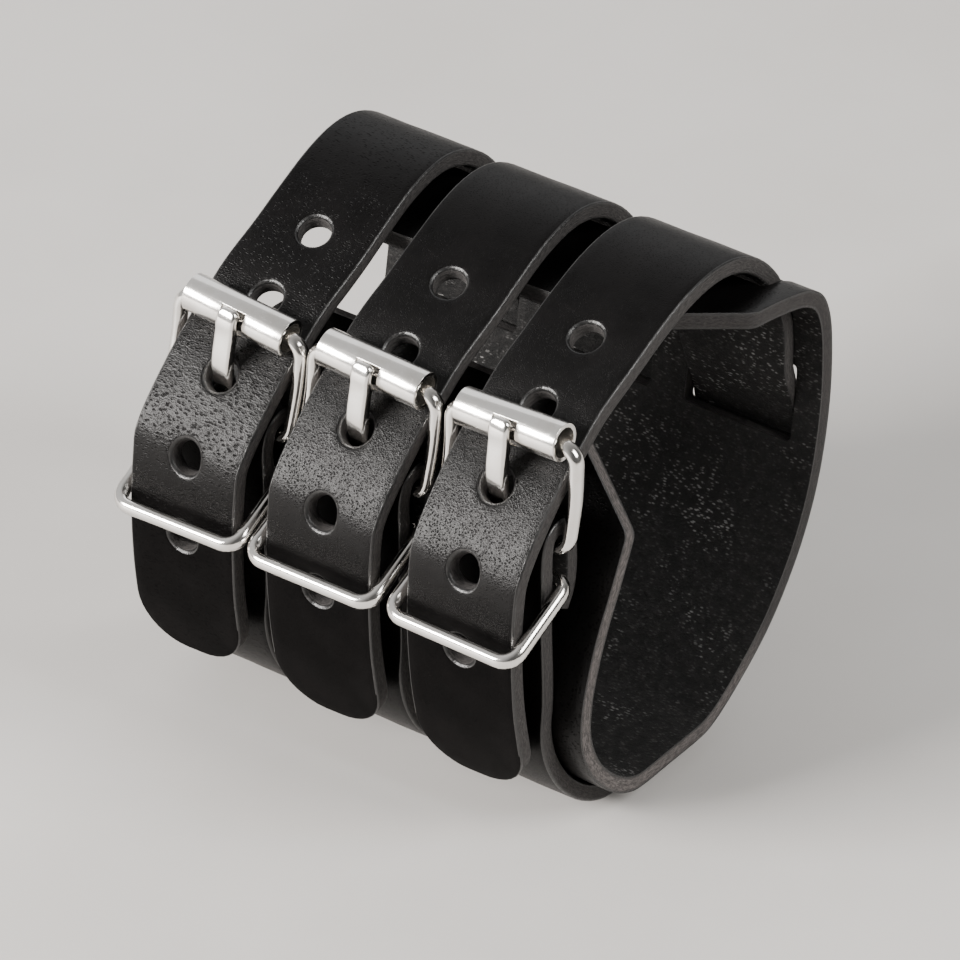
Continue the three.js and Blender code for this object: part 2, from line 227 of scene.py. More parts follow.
def length_of(line):
    return sum((b - a).length for a, b in zip(line, line[1:]))


def length_to(line, target):
    """How far along the line it comes closest to a point."""
    nearest = min(range(len(line)), key=lambda i: (line[i] - target).length)
    return length_of(line[:nearest + 1])


def pin_hole_along(route):
    """How far along a strap the prong's hole lies. Its first half passes the hole too, so only its second counts."""
    half = len(route) // 2
    return length_to(route[half:], PIN_HOLE) + length_of(route[:half + 1])


def stations(line, turn, longest):
    """Lengths along a line where it has turned by so much or run on for so long."""
    found, since, turned_by = [], 0.0, 0.0
    total = 0.0
    for a, b, c in zip(line, line[1:], line[2:]):
        total += (b - a).length
        since += (b - a).length
        turned_by += math.degrees((b - a).angle(c - b, 0))
        if turned_by > turn or since > longest:
            found.append(total)
            since, turned_by = 0.0, 0.0
    return found


def eased(line, below, rounds=70):
    """The line with its low part worn round, where it was pressed flat on the table."""
    for _ in range(rounds):
        line = [
            p if i in (0, len(line) - 1) or p.y > below else (line[i - 1] + 2 * p + line[i + 1]) / 4
            for i, p in enumerate(line)
        ]
    return line


cuff_face = eased(
    [Vector((p.x, max(p.y, level(CUFF_FLOOR)))) for p in smooth(from_shares(CUFF_OUTLINE))],
    TO_CUFF + FLAT_EASED_BELOW,
)
cuff_route = even(offset(cuff_face, LEATHER / 2), ROUTE_STEP)


def roller_place():
    """The frame's outer bar, the roller's middle, and the way from the tail to the roller."""
    away = Vector((-0.62, 0.785)).normalized()
    lean = math.radians(FRAME_LEAN)
    outer_bar = BAR + Vector((math.sin(lean), math.cos(lean))) * FRAME_LENGTH
    return outer_bar, outer_bar + away * ROLLER_SAG, away


def strap_route(sway):
    """The middle of a strap: round the bar, down the front, under, up the back, in, out, over and down the tail."""
    half_turn = WIRE / 2 + WIRE_PLAY + LEATHER / 2
    top = BAR + Vector((0, FOLD_SLACK))
    fold = [
        *(BAR + Vector((out * half_turn, -down * FOLD_RETURN)) for out, down in FOLD_BEHIND),
        *(polar(top, half_turn, a) for a in (0, 45, 90, 135, 180)),
        BAR + Vector((-1.04 * half_turn, -0.5 * FOLD_RETURN)),
        BAR + Vector((-1.05 * half_turn, -FOLD_FRONT)),
    ]
    to_seat = SEAT_GAP + BEND_PLAY + LEATHER / 2
    wrapped = []
    for p in offset(cuff_face, -to_seat):
        if p.y < level(WALL_LEAVE_BACK if p.x > CUFF_DEPTH / 2 else WALL_LEAVE_FRONT):
            wrapped.append(p)
    inside = []
    for p in offset(cuff_face, 1.5 * LEATHER + SEAT_GAP):
        if p.x > CUFF_DEPTH / 2 and level(INSIDE_LOW) < p.y < level(INSIDE_HIGH):
            inside.append(p)
    _, centre, away = roller_place()
    under_roller = centre - away * (ROLLER_DIAMETER / 2 + ROLLER_OVER_TAIL + LEATHER / 2)
    tail = [
        Vector((
            BAR.x - out * TAIL_STAND_OFF + sway["tail_swing"] * down * down,
            BAR.y - down * (TAIL_DROP + sway["tail_extra"]),
        ))
        for down, out in TAIL_SHAPE
    ]
    # A few of the close points on the cuff are enough to guide the strap.
    points = [*fold, *wrapped[::14], *inside[::10], *from_shares(STRAP_ARCH), under_roller, PIN_HOLE, *tail]
    lowest = level(CUFF_FLOOR) - to_seat
    return [Vector((p.x, max(p.y, lowest))) for p in smooth(points)]


def prong_route():
    """The middle of a prong: curled round the inner bar, up through the tail's hole and over the roller."""
    wrap = WIRE / 2 + WIRE_PLAY + PRONG_THICKNESS / 2
    lift = ROLLER_DIAMETER / 2 - ROLLER_WALL + WIRE_PLAY + PRONG_THICKNESS / 2
    _, centre, _ = roller_place()
    points = [polar(BAR, wrap, PRONG_LEAVE - PRONG_WRAP * (1 - i / 10)) for i in range(11)]
    points += [PIN_HOLE + Vector(p) for p in PRONG_AT_HOLE]
    points += [polar(centre, lift, a) for a in PRONG_OVER_ROLLER]
    return smooth(points, PRONG_STEP)


def strap_x(i):
    return (i - 1) * STRAP_PITCH + STRAPS[i]["shift"]


middle_route = strap_route(STRAPS[1])

# The step from these measures to the part's own frame, whose origin is under the middle of its box.
_, cuff_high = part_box("base_cuff")
strap_low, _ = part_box("strap_2")
TO_FRAME = Vector((
    0,
    cuff_high.y / MM - max(p.x for p in offset(cuff_route, -LEATHER / 2)),
    strap_low.z / MM - min(p.y for p in offset(middle_route, -LEATHER / 2)),
))
# A flat piece is laid out with its length along X, its thickness along Y and its width along Z.
UPRIGHT = Matrix(((0, 0, 1, 0), (1, 0, 0, 0), (0, 1, 0, 0), (0, 0, 0, 1)))


def pick(obj):
    bpy.ops.object.select_all(action="DESELECT")
    obj.select_set(True)
    bpy.context.view_layer.objects.active = obj


def settle(obj):
    """Puts the place, turn and size of a piece into its mesh."""
    pick(obj)
    bpy.ops.object.transform_apply(location=True, rotation=True, scale=True)


def set_down(obj, turn, place):
    """Turns a piece and moves it to a place in the side plane."""
    obj.rotation_euler = turn
    obj.location = (0, place.x * MM, place.y * MM)
    settle(obj)


def added(name):
    """The primitive that was just added, with its size and turn put into its mesh."""
    obj = bpy.context.active_object
    obj.name = name
    obj.data.name = name
    settle(obj)
    return obj


def block(name, low, high):
    middle = [(a + b) / 2 * MM for a, b in zip(low, high)]
    bpy.ops.mesh.primitive_cube_add(size=1, location=middle)
    bpy.context.active_object.scale = [(b - a) * MM for a, b in zip(low, high)]
    return added(name)


def edit(obj, choose_edges=None, choose_faces=None):
    """Goes into edit mode with only the chosen edges or faces selected, or with everything selected."""
    pick(obj)
    bpy.ops.object.mode_set(mode="EDIT")
    kind = "FACE" if choose_faces else "EDGE"
    bpy.ops.mesh.select_mode(type=kind)
    if not choose_edges and not choose_faces:
        bpy.ops.mesh.select_all(action="SELECT")
        return
    bpy.ops.mesh.select_all(action="DESELECT")
    shape = bmesh.from_edit_mesh(obj.data)
    for part in shape.faces if choose_faces else shape.edges:
        if (choose_faces or choose_edges)(part):
            part.select_set(True)
    bmesh.update_edit_mesh(obj.data)


def done():
    bpy.ops.object.mode_set(mode="OBJECT")


def modify(obj, kind, **settings):
    pick(obj)
    modifier = obj.modifiers.new(kind.title(), kind)
    for key, value in settings.items():
        setattr(modifier, key, value)
    bpy.ops.object.modifier_apply(modifier=modifier.name)


def through(edge, least):
    """Whether an edge of a flat piece runs through its thickness for more than so many millimetres."""
    return abs(edge.verts[0].co.y - edge.verts[1].co.y) > least * MM


def round_edges(obj, choose, radius, segments):
    """Rounds the chosen edges."""
    edit(obj, choose)
    bpy.ops.mesh.bevel(offset=radius * MM, segments=segments, affect="EDGES")
    done()


def round_sharp(obj, radius, sharp, segments=3):
    """Rounds every edge where the faces meet at more than so many degrees."""
    modify(
        obj, "BEVEL", width=radius * MM, segments=segments, limit_method="ANGLE", angle_limit=math.radians(sharp),
    )


def cut_out(obj, cutter):
    modify(obj, "BOOLEAN", operation="DIFFERENCE", solver="EXACT", object=cutter)
    bpy.data.objects.remove(cutter)


def cut_slot(obj, low, high, corner, segments):
    """Cuts a slot with round corners through a flat piece, from its low to its high length and width."""
    slot = block("slot", (low[0], -LEATHER, low[1]), (high[0], LEATHER, high[1]))
    round_edges(slot, lambda e: through(e, LEATHER), corner, segments)
    cut_out(obj, slot)


def cut_across(obj, lengths, axis=0):
    """Adds an edge all round the piece at each length, so that it can bend there."""
    normal = [0, 0, 0]
    normal[axis] = 1
    edit(obj)
    for length in lengths:
        place = [0, 0, 0]
        place[axis] = length * MM
        bpy.ops.mesh.select_all(action="SELECT")
        bpy.ops.mesh.bisect(plane_co=place, plane_no=normal)
    done()


def across_width(half, parts):
    """The places of evenly spaced edges over the width of a flat piece."""
    return [half * (k / parts - 1) for k in range(1, 2 * parts)]


def keep_flat_place(obj):
    """Stores where each point lay before the piece was bent, for its grain."""
    places = obj.data.attributes.new("flat", "FLOAT_VECTOR", "POINT")
    for vertex, place in zip(obj.data.vertices, places.data):
        place.vector = vertex.co / MM


def bend_along(obj, route):
    """Bends a flat piece along a route in the side plane."""
    path = bpy.data.curves.new("route", "CURVE")
    path.dimensions = "2D"
    spline = path.splines.new("POLY")
    spline.points.add(len(route) - 1)
    for point, place in zip(spline.points, route):
        point.co = (place.x * MM, place.y * MM, 0, 1)
    guide = bpy.data.objects.new("route", path)
    bpy.context.scene.collection.objects.link(guide)
    guide.matrix_world = UPRIGHT
    obj.matrix_world = UPRIGHT
    bpy.context.view_layer.update()
    modify(obj, "CURVE", object=guide, deform_axis="POS_X")
    settle(obj)
    bpy.data.objects.remove(guide)


# The cage that turns a buckle, in metres, with its points along X, Y and Z.
CAGE_PLACE = (0, 0.02, 0.04)
CAGE_SIZE = (0.026, 0.12, 0.09)
CAGE_POINTS = (2, 25, 46)
# Where the turn comes in: from so far below the bar and over such a height, as shares of the frame's length, and
# from so far back and over such a depth, as shares of the cuff's depth.
TURN_BELOW_BAR = 0.24
TURN_OVER_HEIGHT = 0.19
TURN_FROM_BACK = 0.75
TURN_OVER_DEPTH = 0.55


def turn_with_buckle(obj, sway):
    """Turns the buckle end of a strap, and what is on it, a little to one side; the turn dies away round the cuff."""
    bpy.ops.object.add(type="LATTICE", location=CAGE_PLACE)
    cage = bpy.context.active_object
    cage.scale = CAGE_SIZE
    bpy.context.view_layer.update()
    cage.data.points_u, cage.data.points_v, cage.data.points_w = CAGE_POINTS
    cage.data.interpolation_type_v = cage.data.interpolation_type_w = "KEY_LINEAR"
    back = cage.matrix_world.inverted()
    for point in cage.data.points:
        place = cage.matrix_world @ point.co / MM
        rise = place.z - BAR.y
        above = ease((rise + TURN_BELOW_BAR * FRAME_LENGTH) / (TURN_OVER_HEIGHT * FRAME_LENGTH))
        ahead = ease((TURN_FROM_BACK * CUFF_DEPTH - place.y) / (TURN_OVER_DEPTH * CUFF_DEPTH))
        angle = math.radians(sway["buckle_turn"]) * above * ahead
        moved = Vector((
            place.x * math.cos(angle) + rise * math.sin(angle),
            place.y,
            BAR.y + rise * math.cos(angle) - place.x * math.sin(angle),
        ))
        point.co_deform = back @ (moved * MM)
    modify(obj, "LATTICE", object=cage)
    bpy.data.objects.remove(cage)


def put(obj, step, nodes):
    """Puts a finished piece in its place in the part's frame, in place of its solid."""
    obj.location = (Vector((step, 0, 0)) + TO_FRAME) * MM
    settle(obj)
    bpy.ops.object.shade_smooth_by_angle(angle=math.radians(AS_SMOOTH_BELOW))
    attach(obj, "root")
    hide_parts(*nodes)


def uneven(obj, size, depth):
    """Real leather isn't quite flat: a gentle swell over the piece, the same on both of its faces."""
    swell = bpy.data.textures.new("swell", "CLOUDS")
    swell.noise_scale = size * MM
    swell.noise_depth = 1
    modify(
        obj, "DISPLACE", texture=swell, texture_coords="LOCAL", direction="Y", strength=depth * MM, mid_level=0.5,
    )
    bpy.data.textures.remove(swell)


def leather_faces(obj, outer, flesh, edge):
    """Gives the smooth side, the rough side, the cut edges and the rubbed corners of leather their own finishes."""
    for material in (outer, flesh, edge, rubbed):
        obj.data.materials.append(material)
    is_outer, is_flesh, is_edge, is_rubbed = range(4)
    for face in obj.data.polygons:
        out = -face.normal.y
        if out > 0.96:
            face.material_index = is_outer
        elif out > 0.3:
            face.material_index = is_rubbed
        elif out < -0.5:
            face.material_index = is_flesh
        else:
            face.material_index = is_edge


class Wire:
    """A socket of a material, on which sums are written as plain expressions."""

    def __init__(self, paint, socket):
        self.paint = paint
        self.socket = socket

    def sum(self, operation, *values):
        return self.paint.node("ShaderNodeMath", {"operation": operation}, dict(enumerate(values)))

    def __add__(self, other):
        return self.sum("ADD", self, other)

    def __rsub__(self, other):
        return self.sum("SUBTRACT", other, self)

    def __mul__(self, other):
        return self.sum("MULTIPLY", self, other)

    def above(self, low, high):
        """From 0 at low to 1 at high, eased."""
        return self.paint.node(
            "ShaderNodeMapRange", {"interpolation_type": "SMOOTHSTEP"},
            {"Value": self, "From Min": low, "From Max": high},
        )

    def size(self):
        return self.sum("ABSOLUTE", self)


class Paint:
    """A material and the nodes that make it."""

    def __init__(self, name, **constants):
        self.material = bpy.data.materials.new(name)
        self.material.use_nodes = True
        self.tree = self.material.node_tree
        self.shader = self.tree.nodes["Principled BSDF"]
        self.feeds(**constants)

    def node(self, kind, settings=None, values=None, output=0):
        made = self.tree.nodes.new(kind)
        for key, value in (settings or {}).items():
            setattr(made, key, value)
        for key, value in (values or {}).items():
            self.feed(made.inputs[key], value)
        return Wire(self, made.outputs[output])

    def feed(self, socket, value):
        if isinstance(value, Wire):
            self.tree.links.new(value.socket, socket)
        elif socket.type == "RGBA":
            socket.default_value = (*value, 1)
        else:
            socket.default_value = value

    def feeds(self, **values):
        for key, value in values.items():
            self.feed(self.shader.inputs[key.replace("_", " ")], value)

    def flat(self):
        """The place on the flat leather, in millimetres: length, thickness and width."""
        return self.node("ShaderNodeAttribute", {"attribute_name": "flat"}, output="Vector")

    def here(self):
        """The place on the object, in millimetres."""
        return self.scaled(self.node("ShaderNodeTexCoord", output="Object"), 1 / MM)

    def scaled(self, place, by):
        return self.node("ShaderNodeVectorMath", {"operation": "SCALE"}, {0: place, "Scale": by})

    def stretched(self, place, along, thick, across):
        return self.node("ShaderNodeVectorMath", {"operation": "MULTIPLY"}, {0: place, 1: (along, thick, across)})

    def moved(self, place, drift):
        return self.node("ShaderNodeVectorMath", {"operation": "ADD"}, {0: place, 1: drift})

    def one_of(self, place, axis):
        return self.node("ShaderNodeSeparateXYZ", values={0: place}, output=axis)

    def noise(self, place, size, detail=3.0, roughness=0.55):
        values = {"Vector": place, "Scale": 1 / size, "Detail": detail, "Roughness": roughness}
        return self.node("ShaderNodeTexNoise", values=values)

    def noise_colour(self, place, size):
        values = {"Vector": place, "Scale": 1 / size, "Detail": 0.0}
        return self.node("ShaderNodeTexNoise", values=values, output="Color")

    def cells(self, place, size):
        """How far each place is from the middle of its cell."""
        return self.node("ShaderNodeTexVoronoi", values={"Vector": place, "Scale": 1 / size}, output="Distance")

    def mixed(self, share, first, second):
        return self.node("ShaderNodeMix", {"data_type": "RGBA"}, {"Factor": share, 6: first, 7: second}, output=2)

    def raised(self, height, depth, under=None):
        """A bump of a real depth in millimetres."""
        values = {"Height": height, "Distance": depth * MM, "Strength": 1.0}
        if under:
            values["Normal"] = under
        return self.node("ShaderNodeBump", values=values)


def smooth_leather(name, size, deep, drawn, worked=None):
    """The grain side: black and satin, with dark pores that are drawn out across it. Round the length at which it
    is worked by the buckle it is deeper grained and shinier, and towards its free end it is plain and dull."""
    paint = Paint(name, IOR=1.5)
    flat = paint.flat()
    patches = paint.noise(flat, 9, 4)
    fine = paint.noise(flat, 0.9, 4, 0.6)
    place = paint.moved(flat, paint.scaled(paint.noise_colour(flat, 1.8), 0.5))
    pebbles = paint.cells(paint.stretched(place, 1, 1, 1 / drawn), size)
    pores = paint.cells(flat, 0.6 * size)
    depth = paint.noise(flat, 5, 2).above(0.25, 0.7) * 0.5 + 0.5
    ground = pebbles.above(0.12, 0.42)
    shine = ground * 0.12 + 0.05
    if worked:
        along = paint.one_of(flat, "X")
        depth = depth * (along.above(worked - 40, worked - 27) * 0.7 + 0.3)
        depth = depth * (1 - along.above(worked + 16, worked + 28) * 0.55)
        shine = shine * (along.above(worked - 30, worked - 6) * 0.6 + 0.6)
        shine = shine * (1 - along.above(worked + 6, worked + 26) * 0.88)
    colour = paint.mixed(patches.above(0.3, 0.75), (0.0016, 0.0014, 0.0014), (0.0034, 0.003, 0.003))
    colour = paint.mixed(fine.above(0.62, 0.8) * 0.5, colour, (0.008, 0.0072, 0.007))
    bump = paint.raised((ground * 0.6 + (1 - pebbles) * 0.4) * depth, deep)
    bump = paint.raised((1 - pores) * depth, 0.3 * deep, bump)
    paint.feeds(
        Base_Color=colour, Specular_IOR_Level=shine, Normal=bump,
        Roughness=patches * 0.1 + fine * 0.1 + pores * 0.1 + 0.22,
    )
    return paint.material


def rubbed_leather(name):
    """The rounded corners of the leather, rubbed smooth and shiny with dye."""
    paint = Paint(name, IOR=1.5, Specular_IOR_Level=0.7)
    rub = paint.noise(paint.flat(), 0.8, 4, 0.7)
    colour = paint.mixed(rub.above(0.5, 0.75), (0.003, 0.0028, 0.0028), (0.018, 0.0165, 0.016))
    paint.feeds(Base_Color=colour, Roughness=rub * 0.5 + 0.12, Normal=paint.raised(rub, 0.12))
    return paint.material


def rough_leather(name):
    """The flesh side: black suede, matted, with painted highlights: light flecks in patches stand in for glints, and
    it is glossier there too.
    """
    paint = Paint(name, Specular_IOR_Level=0.4)
    flat = paint.flat()
    nap = paint.noise(paint.stretched(flat, 1.5, 1, 0.8), 0.7, 6, 0.85)
    clumps = paint.noise(flat, 1.6, 4, 0.65)
    patches = paint.noise(flat, 13, 3)
    flecks = paint.cells(paint.stretched(flat, 1.6, 1, 0.7), 0.7)
    # Painted highlight: the light flecks mixed into the colour below stand in for glints on the nap; the roughness
    # also drops there.
    painted_glint = (1 - flecks.above(0.14, 0.42)) * clumps.above(0.4, 0.58) * (patches.above(0.46, 0.66) * 0.88 + 0.12)
    colour = paint.mixed(clumps.above(0.35, 0.7), (0.003, 0.0028, 0.0028), (0.011, 0.0102, 0.01))
    colour = paint.mixed(nap.above(0.5, 0.72), colour, (0.034, 0.032, 0.031))
    colour = paint.mixed(painted_glint * 0.9, colour, (0.24, 0.235, 0.23))
    paint.feeds(Base_Color=colour, Roughness=0.85 - painted_glint * 0.5, Normal=paint.raised(nap * 0.5 + clumps, 0.7))
    return paint.material


def cut_leather(name, tone, darker_from=None):
    """A cut edge: grey-brown fibres between a thin dark line of dye at each face, darker beyond a length."""
    paint = Paint(name, Specular_IOR_Level=0.5)
    flat = paint.flat()
    fibres = paint.noise(paint.stretched(flat, 1, 3.5, 1), 0.8, 5, 0.7)
    lumps = paint.noise(flat, 2.2, 3)
    light = tuple(c * 1.7 for c in tone)
    dark = tuple(c * 0.35 for c in tone)
    colour = paint.mixed(fibres.above(0.35, 0.68), dark, light)
    colour = paint.mixed(lumps.above(0.45, 0.75) * 0.5, colour, tone)
    if darker_from:
        colour = paint.mixed(paint.one_of(flat, "X").above(*darker_from) * 0.75, colour, (0.006, 0.0055, 0.0055))
    dye = paint.one_of(flat, "Y").size().above(LEATHER / 2 - 0.55, LEATHER / 2 - 0.2)
    colour = paint.mixed(dye, colour, (0.014, 0.013, 0.013))
    paint.feeds(Base_Color=colour, Roughness=0.8 - dye * 0.45, Normal=paint.raised(fibres + lumps, 0.16))
    return paint.material


def nickel(name, roughness):
    """Plated metal: bright, a little warm, with faint wear and fine scratches."""
    paint = Paint(name, Metallic=1.0)
    place = paint.here()
    wear = paint.noise(place, 3.0, 4, 0.6)
    dull = paint.noise(place, 0.7, 4, 0.7)
    scratches = paint.noise(paint.stretched(place, 0.3, 4, 4), 0.5, 2)
    colour = paint.mixed(wear.above(0.35, 0.75), (0.90, 0.88, 0.85), (0.82, 0.79, 0.75))
    colour = paint.mixed(dull.above(0.68, 0.82) * 0.4, colour, (0.5, 0.47, 0.43))
    paint.feeds(
        Base_Color=colour, Roughness=wear * 0.1 + dull.above(0.5, 0.8) * 0.14 + roughness,
        Normal=paint.raised(scratches * 0.4 + dull * 0.6, 0.006),
    )
    return paint.material


worked_at = pin_hole_along(middle_route)
creased_face = smooth_leather("creased_strap_grain", 0.36, 0.14, 2.6, worked_at)
strap_face = smooth_leather("strap_grain", 0.29, 0.1, 1.2, worked_at)
cuff_skin = smooth_leather("cuff_grain", 0.5, 0.05, 1.4)
rubbed = rubbed_leather("rubbed_corner")
suede = rough_leather("suede")
strap_edge = cut_leather("strap_cut_edge", (0.032, 0.029, 0.028))
cuff_edge = cut_leather("cuff_cut_edge", (0.085, 0.075, 0.072), (88, 100))
bright = nickel("polished_nickel", 0.09)
rolled = nickel("rolled_nickel", 0.14)


def slot_lengths():
    """From where to where, along the cuff, the straps pass through its back wall."""
    near = [
        min((p - q).length for q in middle_route) < LEATHER + CUFF_SLOT_REACH and p.x > 0.7 * CUFF_DEPTH
        for p in cuff_route
    ]
    step = length_of(cuff_route) / (len(cuff_route) - 1)
    starts = [k * step for k in range(1, len(near)) if near[k] and not near[k - 1]]
    ends = [k * step for k in range(1, len(near)) if near[k - 1] and not near[k]]
    return zip(starts, ends)


def make_cuff():
    long = length_of(cuff_route)
    half = CUFF_WIDTH / 2
    cuff = block("cuff", (0, -LEATHER / 2, -half), (long, LEATHER / 2, half))
    for end, facing, along in ((0, 1, CORNER_ALONG_FRONT), (long, -1, CORNER_ALONG_BACK)):
        for side in (1, -1):
            edit(cuff)
            bpy.ops.mesh.bisect(
                plane_co=(end * MM, 0, side * (half - CORNER_ACROSS) * MM),
                plane_no=(-facing * CORNER_ACROSS, 0, side * along),
                clear_outer=True, use_fill=True,
            )
            done()
    round_edges(cuff, lambda e: through(e, LEATHER / 2), CORNER_ROUND, 3)
    wide = STRAP_WIDTH / 2 + CUFF_SLOT_PLAY
    for start, end in slot_lengths():
        for i in range(3):
            cut_slot(cuff, (start, strap_x(i) - wide), (end, strap_x(i) + wide), CUFF_SLOT_CORNER, 4)
    round_sharp(cuff, CUFF_EDGE_ROUND, 50)
    leather_faces(cuff, cuff_skin, suede, cuff_edge)
    cut_across(cuff, stations(cuff_route, 3, 1.6))
    cut_across(cuff, across_width(half, 24), axis=2)
    keep_flat_place(cuff)
    uneven(cuff, size=14, depth=0.22)
    bend_along(cuff, cuff_route)
    put(cuff, 0, ["base_cuff"])


def punch_holes(strap, places):
    """Punches the tail's holes and rounds their rims on the smooth side."""
    for place in places:
        bpy.ops.mesh.primitive_cylinder_add(
            vertices=HOLE_SIDES, radius=HOLE_DIAMETER / 2 * MM, depth=4 * LEATHER * MM,
            location=Vector((place, 0, 0)) * MM, rotation=(math.pi / 2, 0, 0),
        )
        cut_out(strap, added("punch"))

    def at_rim(vertex, place):
        from_middle = math.hypot(vertex.co.x / MM - place, vertex.co.z / MM)
        return vertex.co.y < -0.4 * LEATHER * MM and from_middle < HOLE_DIAMETER / 2 + 0.05

    # The edges that join two holes belong to neither rim.
    round_edges(strap, lambda e: any(all(at_rim(v, place) for v in e.verts) for place in places), HOLE_RIM, 4)


def make_strap(i, sway):
    route = strap_route(sway)
    long = length_of(route)
    half = STRAP_WIDTH / 2
    strap = block(f"strap_leather_{i + 1}", (0, -LEATHER / 2, -half), (long, LEATHER / 2, half))
    round_edges(
        strap, lambda e: all(v.co.x > (long - 1) * MM for v in e.verts) and through(e, 1), TAIL_CORNER, 9,
    )
    at_bar = length_to(route[:len(route) // 4], BAR + Vector((0, FOLD_SLOT_ABOVE_BAR)))
    cut_slot(
        strap, (at_bar - FOLD_SLOT_LENGTH / 2, -FOLD_SLOT_WIDTH / 2),
        (at_bar + FOLD_SLOT_LENGTH / 2, FOLD_SLOT_WIDTH / 2), FOLD_SLOT_CORNER, 6,
    )
    round_sharp(strap, STRAP_EDGE_ROUND, 50)
    at_pin = pin_hole_along(route)
    punch_holes(strap, [at_pin + k * HOLE_PITCH for k in range(-HOLES_EACH_WAY, HOLES_EACH_WAY + 1)])
    leather_faces(strap, strap_face if i else creased_face, suede, strap_edge)
    cut_across(strap, stations(route, 5, 1.5))
    cut_across(strap, across_width(half, 6), axis=2)
    keep_flat_place(strap)
    uneven(strap, size=9, depth=0.2)
    bend_along(strap, route)
    turn_with_buckle(strap, sway)
    put(strap, strap_x(i), [f"strap_{i + 1}"])


def wire_loop(name, long, bow):
    """A closed loop of wire: a rectangle with round corners, laid flat, long along Y from 0, bowed along -Z."""
    wide = STRAP_WIDTH + 2 * WIRE_PLAY + WIRE
    bpy.ops.mesh.primitive_plane_add(size=1, location=(0, long / 2 * MM, 0))
    bpy.context.active_object.scale = (wide * MM, long * MM, 1)
    loop = added(name)
    edit(loop)
    bpy.ops.mesh.bevel(offset=WIRE_CORNER * MM, segments=6, affect="VERTICES")
    bpy.ops.mesh.select_all(action="SELECT")
    bpy.ops.mesh.delete(type="ONLY_FACE")
    done()
    edit(loop, lambda e: e.calc_length() > 4 * MM)
    bpy.ops.mesh.subdivide(number_cuts=15)
    bpy.ops.mesh.select_all(action="DESELECT")
    shape = bmesh.from_edit_mesh(loop.data)
    for vertex in shape.verts:
        share = min(max(vertex.co.y / (long * MM), 0), 1)
        vertex.co.z -= 16 * bow * (share * (1 - share)) ** 2 * MM
    bmesh.update_edit_mesh(loop.data)
    done()
    pick(loop)
    bpy.ops.object.convert(target="CURVE")
    loop = bpy.context.active_object
    loop.data.bevel_depth = WIRE / 2 * MM
    loop.data.bevel_resolution = 5
    bpy.ops.object.convert(target="MESH")
    loop = bpy.context.active_object
    loop.name = name
    edit(loop)
    bpy.ops.transform.resize(value=(1, 1, WIRE_THROUGH / WIRE))
    done()
    return loop


def make_frame(i, sway):
    outer_bar, _, _ = roller_place()
    side = outer_bar - BAR
    loop = wire_loop(f"buckle_wire_{i + 1}", side.length, FRAME_BOW)
    set_down(loop, (math.atan2(side.y, side.x), 0, 0), BAR)
    turn_with_buckle(loop, sway)
    loop.data.materials.append(bright)
    put(loop, strap_x(i), [f"buckle_frame_{i + 1}"])


def make_keeper(i, sway):
    back = BAR + Vector((KEEPER_BEHIND_BAR, -KEEPER_BELOW_BAR))
    loop = wire_loop(f"keeper_wire_{i + 1}", KEEPER_REACH, 0)
    set_down(loop, (math.pi + math.radians(KEEPER_DROP), 0, 0), back)
    edit(loop)
    bpy.ops.transform.rotate(
        value=-math.radians(sway["keeper_turn"]), orient_axis="Y", center_override=(0, BAR.x * MM, BAR.y * MM),
    )
    done()
    loop.data.materials.append(bright)
    put(loop, strap_x(i), [f"keeper_loop_{i + 1}"])


def make_roller(i, sway):
    """A tube rolled up from sheet, with its seam on the side of the strap and a notch for the prong's tip."""
    _, centre, away = roller_place()
    bpy.ops.mesh.primitive_cylinder_add(
        vertices=72, radius=ROLLER_DIAMETER / 2 * MM, depth=ROLLER_LENGTH * MM, end_fill_type="NOTHING",
        rotation=(0, math.pi / 2, 0),
    )
    roller = added(f"rolled_tube_{i + 1}")
    seam = Vector((0, -away.x, -away.y))
    edit(roller, choose_faces=lambda f: f.normal.dot(seam) > math.cos(math.radians(ROLLER_SEAM)))
    bpy.ops.mesh.delete(type="FACE")
    done()
    modify(roller, "SOLIDIFY", thickness=ROLLER_WALL * MM, offset=-1)
    notch = block(
        "notch", (-NOTCH_WIDTH / 2, -NOTCH_FRONT * ROLLER_DIAMETER, -0.5 * ROLLER_DIAMETER),
        (NOTCH_WIDTH / 2, -NOTCH_BACK * ROLLER_DIAMETER, 0.5 * ROLLER_DIAMETER),
    )
    notch.rotation_euler = (NOTCH_TURN, 0, 0)
    settle(notch)
    cut_out(roller, notch)
    round_sharp(roller, ROLLER_RIM, 45)
    set_down(roller, (0, math.radians(sway["roller_tilt"]), 0), centre)
    turn_with_buckle(roller, sway)
    roller.data.materials.append(rolled)
    put(roller, strap_x(i), [f"roller_{i + 1}"])


def make_prong(i, sway):
    route = prong_route()
    long = length_of(route)
    thick, wide = PRONG_THICKNESS / 2, PRONG_WIDTH / 2
    prong = block(f"prong_pin_{i + 1}", (0, -thick, -wide), (long, thick, wide))
    round_edges(
        prong, lambda e: all(v.co.x > (long - 0.1) * MM for v in e.verts) and through(e, thick), PRONG_END_ROUND, 5,
    )
    round_sharp(prong, PRONG_EDGE_ROUND, 40, segments=4)
    cut_across(prong, stations(route, 8, 1.2))
    bend_along(prong, route)
    turn_with_buckle(prong, sway)
    prong.data.materials.append(bright)
    put(prong, strap_x(i), [f"prong_{i + 1}"])


make_cuff()
for i, sway in enumerate(STRAPS):
    make_strap(i, sway)
    make_frame(i, sway)
    make_keeper(i, sway)
    make_roller(i, sway)
    make_prong(i, sway)

# The solids that the pieces stand for keep a finish of their own.
for name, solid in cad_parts.items():
    solid.data.materials.clear()
    solid.data.materials.append(cuff_skin if name.startswith(("base", "strap")) else bright)

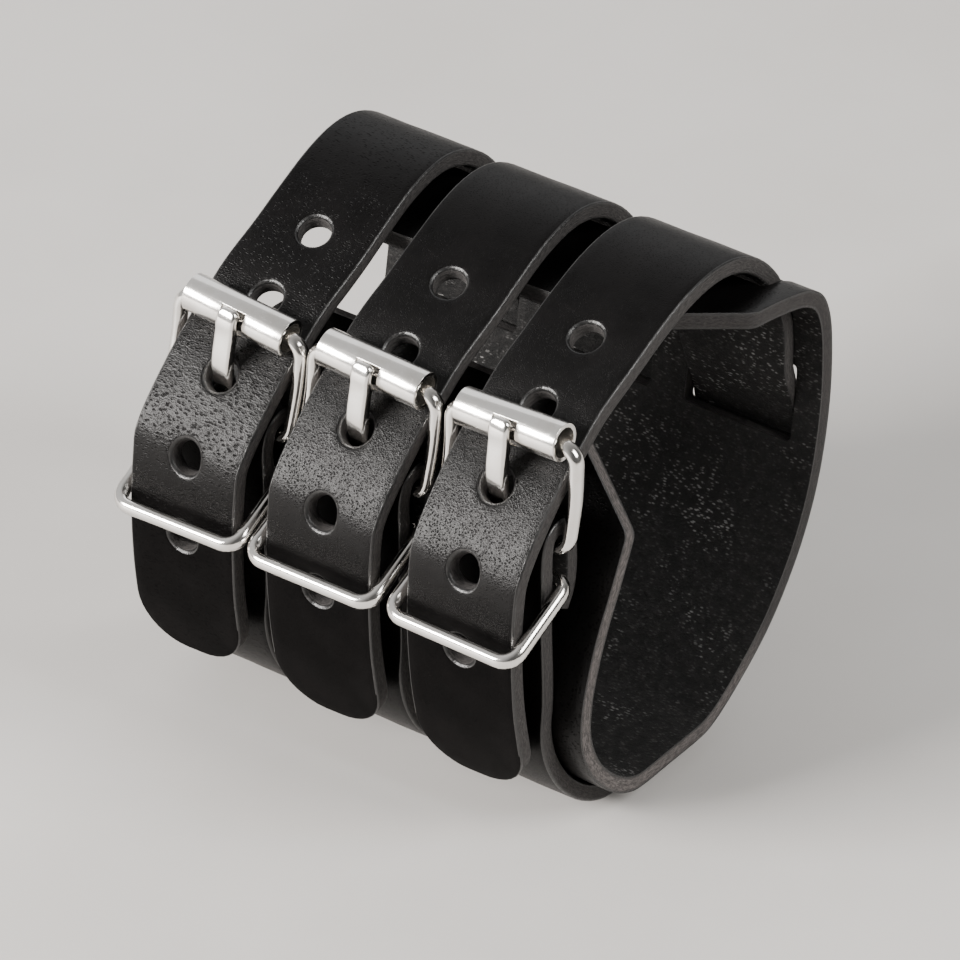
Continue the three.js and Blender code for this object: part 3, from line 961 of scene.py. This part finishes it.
bpy.ops.mesh.primitive_plane_add(size=6, location=(0, 0, -0.0005))
floor = added("floor")
floor_paint = Paint("pale_floor", Roughness=0.6)
floor_paint.feeds(Base_Color=floor_paint.mixed(
    floor_paint.noise(floor_paint.here(), 60, 4).above(0.3, 0.7), (0.54, 0.52, 0.50), (0.58, 0.56, 0.54),
))
floor.data.materials.append(floor_paint.material)


def softbox(name, place, aim, size, power, colour):
    light = bpy.data.lights.new(name, "AREA")
    light.shape = "RECTANGLE"
    light.size, light.size_y = size
    light.energy = power
    light.color = colour
    lamp = bpy.data.objects.new(name, light)
    bpy.context.scene.collection.objects.link(lamp)
    lamp.location = place
    lamp.rotation_euler = (Vector(aim) - Vector(place)).to_track_quat("-Z", "Y").to_euler()


softbox("window", (-0.5, -0.78, 0.46), (0, 0, 0.05), (0.5, 0.36), 30, (1.0, 0.97, 0.94))
softbox("side_light", (0.8, 0.12, 0.68), (0, 0, 0.0), (0.5, 0.5), 11, (1.0, 0.99, 0.97))
softbox("back_light", (-0.5, 0.7, 0.6), (0, 0, 0.05), (0.9, 0.6), 1.3, (0.97, 0.98, 1.0))

# The room is brighter on its left side, which the metal shows.
sky = bpy.data.worlds.new("studio")
sky.use_nodes = True
nodes, links = sky.node_tree.nodes, sky.node_tree.links
nodes["Background"].inputs["Color"].default_value = (0.86, 0.85, 0.84, 1)
facing = nodes.new("ShaderNodeTexCoord")
sides = nodes.new("ShaderNodeSeparateXYZ")
fall = nodes.new("ShaderNodeMapRange")
for socket, value in (("From Min", -0.35), ("From Max", 0.55), ("To Min", 0.75), ("To Max", 0.12)):
    fall.inputs[socket].default_value = value
links.new(facing.outputs["Generated"], sides.inputs[0])
links.new(sides.outputs["X"], fall.inputs["Value"])
links.new(fall.outputs[0], nodes["Background"].inputs["Strength"])
bpy.context.scene.world = sky

# The camera stands where the photograph was taken from: millimetres from the routes' own origin, and degrees.
CAMERA_PLACE = (642.45, -856.1, 769.5)
CAMERA_TILT = 56
CAMERA_TURN = 36
camera_data = bpy.data.cameras.new("camera")
camera_data.lens = 356.1
camera_data.sensor_width = 36
camera = bpy.data.objects.new("camera", camera_data)
bpy.context.scene.collection.objects.link(camera)
camera.location = Vector(CAMERA_PLACE) * MM + TO_FRAME * MM
camera.rotation_euler = (math.radians(CAMERA_TILT), 0, math.radians(CAMERA_TURN))
bpy.context.scene.camera = camera
